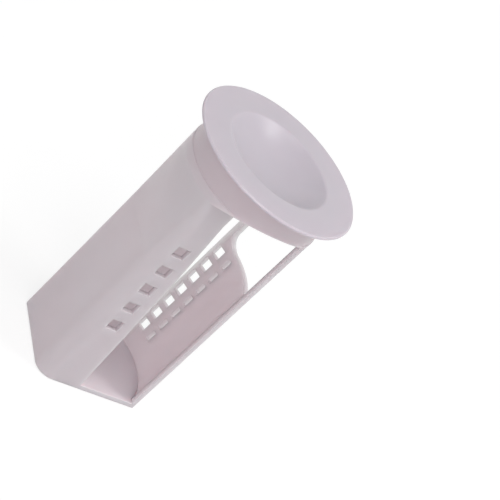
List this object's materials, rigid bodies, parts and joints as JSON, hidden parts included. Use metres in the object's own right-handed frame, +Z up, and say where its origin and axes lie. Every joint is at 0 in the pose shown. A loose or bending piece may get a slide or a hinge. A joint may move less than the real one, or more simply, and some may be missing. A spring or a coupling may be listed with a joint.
{
  "type": "washer pump filter",
  "caption": "Milky plastic pump filter for a washing machine: a flanged, dished cap on a long open-sided basket with a perforated rear wall that holds back lint and small objects.",
  "frame": {"origin": "on the collar's axis, at the underside of the closed end", "axes": "+Z up the axis from the closed end to the flange, -X towards the solid front plate, +X towards the perforated rear wall, -Y towards the wide side opening"},
  "size_m": [0.06, 0.06, 0.104],
  "materials": {
    "milky_plastic": "natural milky polypropylene, satin"
  },
  "bodies": {
    "root": {"pump_filter": "milky_plastic"}
  },
  "joints": []
}
